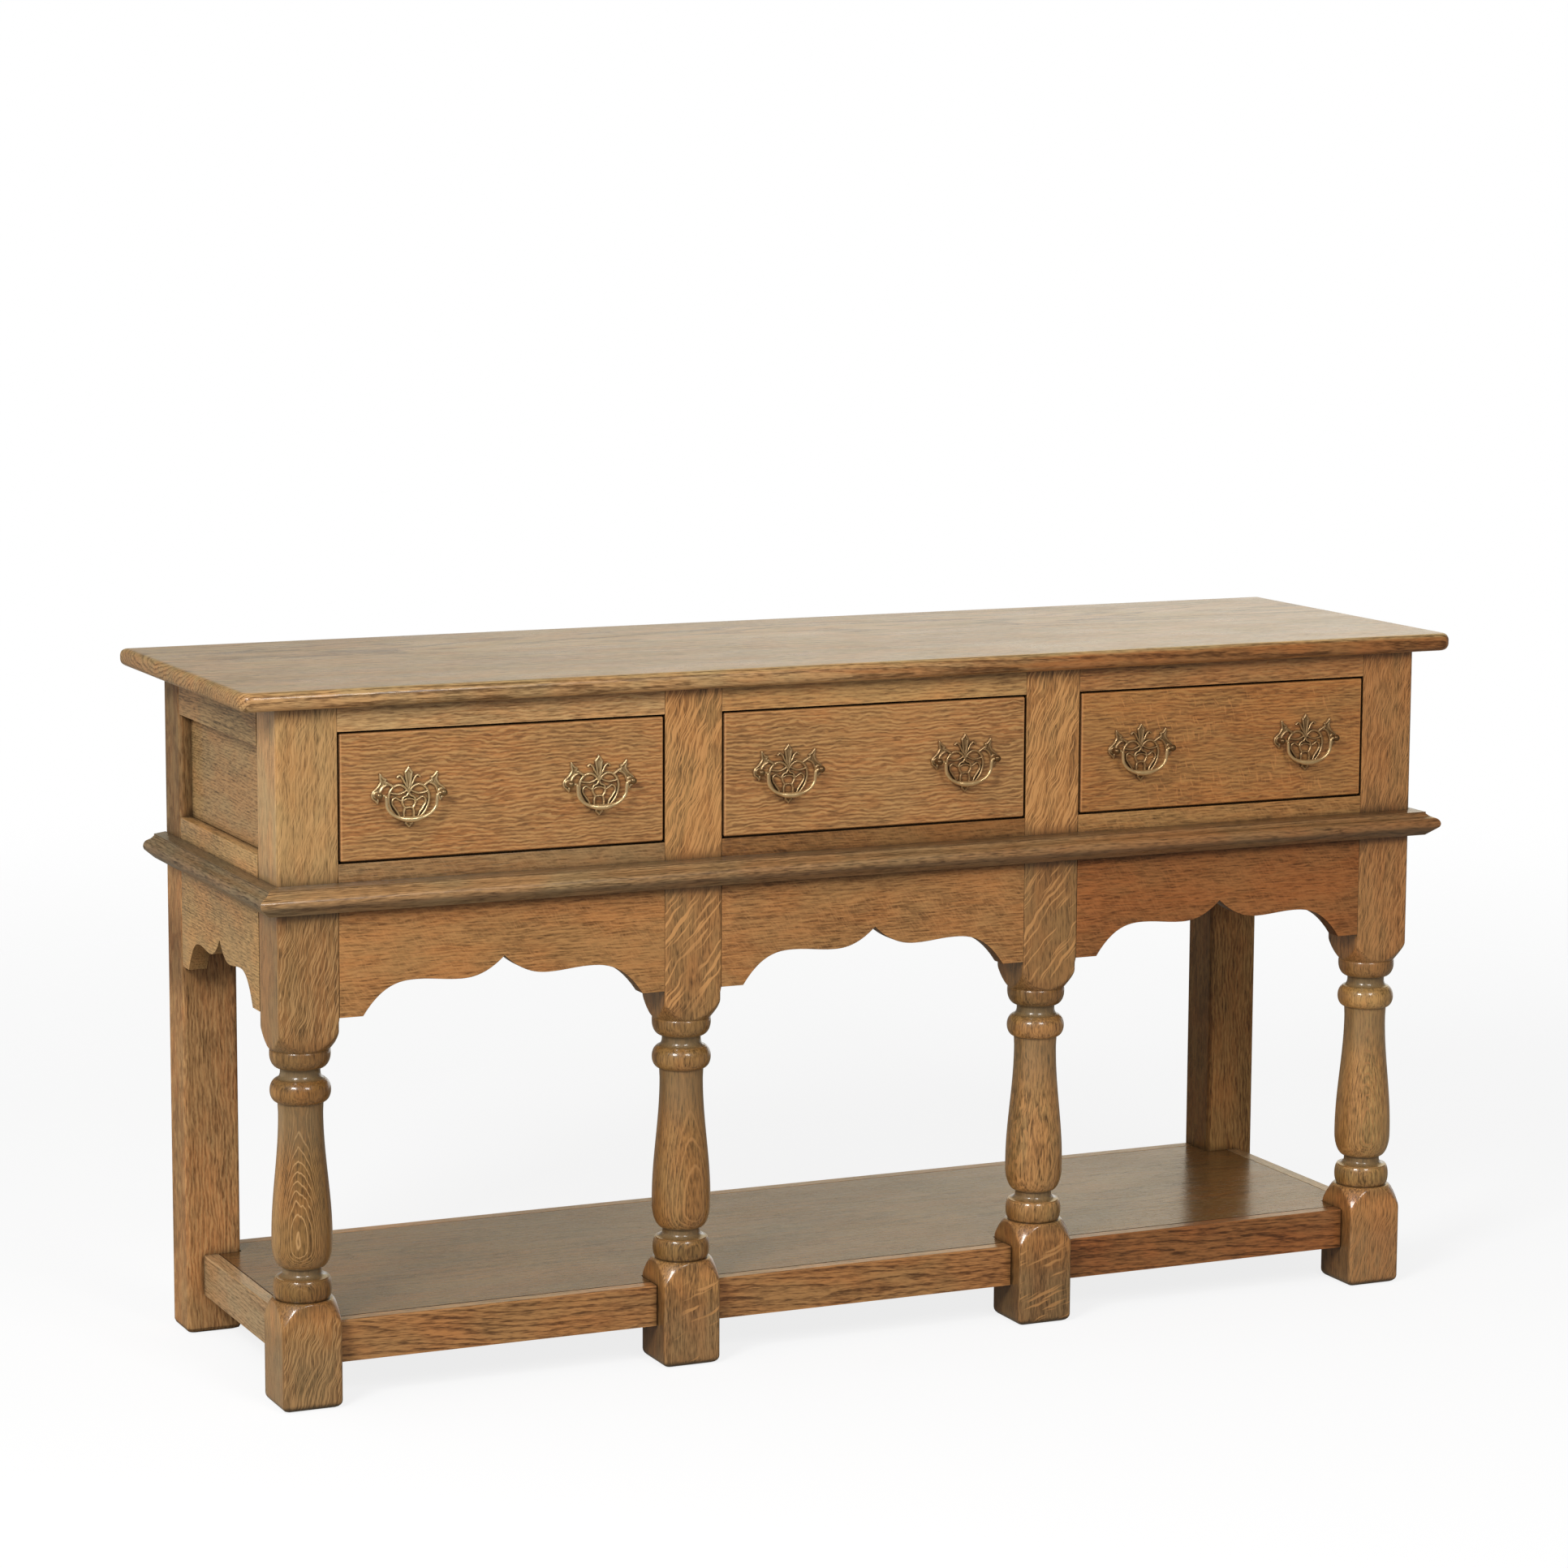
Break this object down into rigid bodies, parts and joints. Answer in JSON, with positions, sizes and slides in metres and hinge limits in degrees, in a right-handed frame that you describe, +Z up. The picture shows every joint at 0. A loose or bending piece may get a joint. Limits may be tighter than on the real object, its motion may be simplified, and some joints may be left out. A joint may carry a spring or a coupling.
{
  "type": "dresser base",
  "caption": "Oak dresser base with a row of drawers over shaped aprons, turned front legs, a waist moulding and a low potboard, with pierced brass drop handles.",
  "frame": {"origin": "on the floor under the middle of the bounding box", "axes": "+X along the length, +Y to the back, +Z up"},
  "size_m": [1.5356, 0.476, 0.81],
  "materials": {
    "oak": "polished antique oak",
    "oak_inside": "plain oak, unpolished",
    "brass": "antique brass"
  },
  "bodies": {
    "carcass": {"top_board": "oak", "front_leg_1": "oak", "front_leg_2": "oak", "front_leg_3": "oak", "front_leg_4": "oak", "back_leg_left": "oak", "back_leg_right": "oak", "top_rail_1": "oak", "top_rail_2": "oak", "top_rail_3": "oak", "apron_1": "oak", "apron_2": "oak", "apron_3": "oak", "side_apron_left": "oak", "side_apron_right": "oak", "side_panel_left": "oak", "side_panel_right": "oak", "side_top_rail_left": "oak", "side_top_rail_right": "oak", "waist_moulding": "oak", "back_panel": "oak_inside", "back_rail": "oak_inside", "stretcher_front_1": "oak", "stretcher_front_2": "oak", "stretcher_front_3": "oak", "stretcher_back": "oak", "stretcher_left": "oak", "stretcher_right": "oak", "potboard": "oak", "runner_left": "oak_inside", "runner_middle_left": "oak_inside", "runner_middle_right": "oak_inside", "runner_right": "oak_inside"},
    "drawer_1": {"drawer_1_front": "oak", "drawer_1_left_side": "oak_inside", "drawer_1_right_side": "oak_inside", "drawer_1_back": "oak_inside", "drawer_1_bottom": "oak_inside", "drawer_1_left_plate": "brass", "drawer_1_right_plate": "brass"},
    "drawer_1_left_bail": {"drawer_1_left_bail": "brass"},
    "drawer_1_right_bail": {"drawer_1_right_bail": "brass"},
    "drawer_2": {"drawer_2_front": "oak", "drawer_2_left_side": "oak_inside", "drawer_2_right_side": "oak_inside", "drawer_2_back": "oak_inside", "drawer_2_bottom": "oak_inside", "drawer_2_left_plate": "brass", "drawer_2_right_plate": "brass"},
    "drawer_2_left_bail": {"drawer_2_left_bail": "brass"},
    "drawer_2_right_bail": {"drawer_2_right_bail": "brass"},
    "drawer_3": {"drawer_3_front": "oak", "drawer_3_left_side": "oak_inside", "drawer_3_right_side": "oak_inside", "drawer_3_back": "oak_inside", "drawer_3_bottom": "oak_inside", "drawer_3_left_plate": "brass", "drawer_3_right_plate": "brass"},
    "drawer_3_left_bail": {"drawer_3_left_bail": "brass"},
    "drawer_3_right_bail": {"drawer_3_right_bail": "brass"}
  },
  "joints": [
    {"name": "drawer_1_slide", "type": "slide", "parent": "carcass", "child": "drawer_1", "axis": [0, -1, 0], "range_m": [0, 0.25]},
    {"name": "drawer_1_left_bail_swing", "type": "hinge", "parent": "drawer_1", "child": "drawer_1_left_bail", "pos_m": [-0.57125, -0.2225, 0.6895], "axis": [-1, 0, 0], "range_deg": [0, 90]},
    {"name": "drawer_1_right_bail_swing", "type": "hinge", "parent": "drawer_1", "child": "drawer_1_right_bail", "pos_m": [-0.34575, -0.2225, 0.6895], "axis": [-1, 0, 0], "range_deg": [0, 90]},
    {"name": "drawer_2_slide", "type": "slide", "parent": "carcass", "child": "drawer_2", "axis": [0, -1, 0], "range_m": [0, 0.25]},
    {"name": "drawer_2_left_bail_swing", "type": "hinge", "parent": "drawer_2", "child": "drawer_2_left_bail", "pos_m": [-0.11275, -0.2225, 0.6895], "axis": [-1, 0, 0], "range_deg": [0, 90]},
    {"name": "drawer_2_right_bail_swing", "type": "hinge", "parent": "drawer_2", "child": "drawer_2_right_bail", "pos_m": [0.11275, -0.2225, 0.6895], "axis": [-1, 0, 0], "range_deg": [0, 90]},
    {"name": "drawer_3_slide", "type": "slide", "parent": "carcass", "child": "drawer_3", "axis": [0, -1, 0], "range_m": [0, 0.25]},
    {"name": "drawer_3_left_bail_swing", "type": "hinge", "parent": "drawer_3", "child": "drawer_3_left_bail", "pos_m": [0.34575, -0.2225, 0.6895], "axis": [-1, 0, 0], "range_deg": [0, 90]},
    {"name": "drawer_3_right_bail_swing", "type": "hinge", "parent": "drawer_3", "child": "drawer_3_right_bail", "pos_m": [0.57125, -0.2225, 0.6895], "axis": [-1, 0, 0], "range_deg": [0, 90]}
  ]
}
